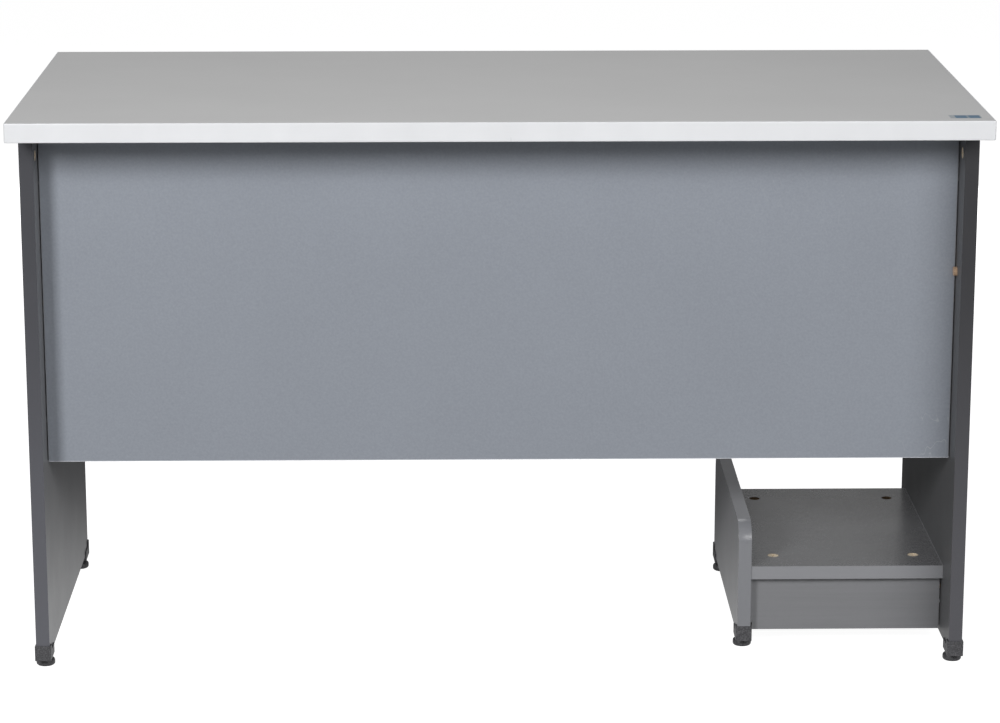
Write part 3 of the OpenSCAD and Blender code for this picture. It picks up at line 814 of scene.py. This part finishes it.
# ---- turned and bent parts ----

def capped_tube(bm, rings):
    """Joins rings of vertices, one after the other, and caps both ends."""
    for near, far in zip(rings, rings[1:]):
        count = len(near)
        for i in range(count):
            bm.faces.new((near[i], near[(i + 1) % count], far[(i + 1) % count], far[i]))
    bm.faces.new(list(reversed(rings[0])))
    bm.faces.new(rings[-1])


def turned(bm, at, profile, sides):
    """Turns (radius, height) points about an upright axis."""
    turns = [i * math.tau / sides for i in range(sides)]
    rings = [[bm.verts.new((at.x + r * math.cos(turn), at.y + r * math.sin(turn), at.z + z))
              for turn in turns] for r, z in profile]
    capped_tube(bm, rings)


def swept(bm, path, radius, sides=20):
    """Sweeps a round bar along a path that lies in a level plane."""
    rings = []
    for i, point in enumerate(path):
        way = (path[min(i + 1, len(path) - 1)] - path[max(i - 1, 0)]).normalized()
        side = way.cross(Vector((0, 0, 1)))
        ring = []
        for k in range(sides):
            turn = k * math.tau / sides
            spoke = side * math.cos(turn) + Vector((0, 0, math.sin(turn)))
            ring.append(bm.verts.new(point + radius * spoke))
        rings.append(ring)
    capped_tube(bm, rings)


def smooth_piece(bm, name, materials, node):
    """Finishes a turned or bent piece: faces point out, and it is smooth except at sharp arrises."""
    bmesh.ops.recalc_face_normals(bm, faces=bm.faces)
    for f in bm.faces:
        f.smooth = True
    piece = as_piece(bm, name, materials, node)
    piece.data.set_sharp_from_angle(angle=SHARP)
    return piece


def make_glide(node, black):
    """A levelling glide: a disc with a rolled rim, a collar and a threaded stem."""
    low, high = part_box(node)
    at = Vector(((low.x + high.x) / 2, (low.y + high.y) / 2, low.z))
    height = high.z - low.z
    r = (high.x - low.x) / 2
    disc_top = 9.0 * MM
    collar = 7.0 * MM
    collar_top = 13.0 * MM
    crest = 4.0 * MM
    root = 3.4 * MM
    pitch = 1.25 * MM
    thread_from = collar_top + 0.2 * MM
    disc = [(r - 2.4 * MM, 0), (r - 1.5 * MM, 0.3 * MM), (r - 0.4 * MM, 1.4 * MM), (r, 2.6 * MM),
            (r, 6.2 * MM), (r - 0.5 * MM, 7.6 * MM), (r - 1.6 * MM, 8.6 * MM), (r - 3.2 * MM, disc_top),
            (collar, disc_top), (collar, collar_top - 0.4 * MM), (collar - 0.4 * MM, collar_top),
            (crest, collar_top)]
    turns = int((height - collar_top - 1 * MM) / pitch)
    thread = []
    for i in range(turns):
        z = thread_from + i * pitch
        thread += [(root, z), (crest, z + 0.45 * pitch), (crest, z + 0.6 * pitch)]
    stem_end = [(root, thread_from + turns * pitch), (root - 0.4 * MM, height)]
    bm = bmesh.new()
    turned(bm, at, disc + thread + stem_end, 32)
    smooth_piece(bm, node + "_foot", [black], node)


def make_shoe(node, black):
    """A moulded corner shoe with its outer arrises rounded."""
    bm = clean_copy(node)
    arrises = sharp_arrises(bm, outer_faces(bm), math.radians(15))
    bmesh.ops.bevel(bm, geom=arrises, offset=0.8 * MM, segments=3, profile=0.5, affect="EDGES",
                    clamp_overlap=True)
    as_piece(bm, node + "_moulding", [black], node)


def make_handle(drawer, nickel):
    """A bow handle bent from round bar, on two feet with thin collars and a screw shank behind each."""
    node = f"drawer_{drawer}_handle"
    low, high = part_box(node)
    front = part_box(f"drawer_{drawer}_front")[0].y
    r = (high.z - low.z) / 2
    z = low.z + r
    reach = low.y + r
    bend = 11 * MM
    neck = 4 * MM
    collar = 1.2 * MM
    shank = 18 * MM
    steps = 8
    feet = (low.x + r, high.x - r)
    turns = [i * math.pi / (2 * steps) for i in range(steps + 1)]
    path = [Vector((feet[0], front, z)), Vector((feet[0], front - neck, z))]
    for turn in turns:
        across, back = bend - bend * math.cos(turn), bend - bend * math.sin(turn)
        path.append(Vector((feet[0] + across, reach + back, z)))
    for turn in turns:
        across, back = bend - bend * math.sin(turn), bend - bend * math.cos(turn)
        path.append(Vector((feet[1] - across, reach + back, z)))
    path += [Vector((feet[1], front - neck, z)), Vector((feet[1], front, z))]
    bm = bmesh.new()
    swept(bm, path, r - 0.2 * MM)
    for x in feet:
        swept(bm, [Vector((x, front - d, z)) for d in (0, collar)], r)
        swept(bm, [Vector((x, front + d, z)) for d in (-0.2 * MM, shank)], 2 * MM, 12)
    smooth_piece(bm, f"drawer_{drawer}_bow_handle", [nickel], node)


# ---- fittings that keep the frame's shape ----

def dress(node, material):
    """Gives a CAD node its finish."""
    o = NODES[node]
    o.data.materials.clear()
    o.data.materials.append(material)


def make_hardware():
    """Every metal, wooden and moulded fitting."""
    zinc = zinc_plate()
    cage = satin_metal("ball_cage_steel", (0.52, 0.53, 0.56), 0.28, (700, 60, 700))
    nickel = satin_metal("satin_nickel", (0.60, 0.585, 0.56), 0.3, (60, 900, 900))
    bright = satin_metal("bright_nickel", (0.68, 0.67, 0.65), 0.18, (500, 500, 500))
    black = textured_plastic()
    for node in ("cam_bolts", "rail_screws", "slides_outer", "lock_tongue"):
        dress(node, zinc)
    dress("wood_dowels", beech_wood())
    dress("panel_plug", plug_nylon())
    dress("blank_label", label_film(*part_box("blank_label")))
    dress("lock_housing", bright)
    dress("lock_plug", bright)
    for drawer in (1, 2, 3):
        dress(f"drawer_{drawer}_slides", zinc)
        dress(f"drawer_{drawer}_ball_cages", cage)
        make_handle(drawer, nickel)
    for node in NODES:
        if node.startswith("glide_"):
            make_glide(node, black)
        if node.startswith("shoe_"):
            make_shoe(node, black)
    make_cams()
    make_screws(zinc)


make_camera()
make_floor()
make_lights()
make_air()
make_boards()
make_edge_band()
make_hardware()
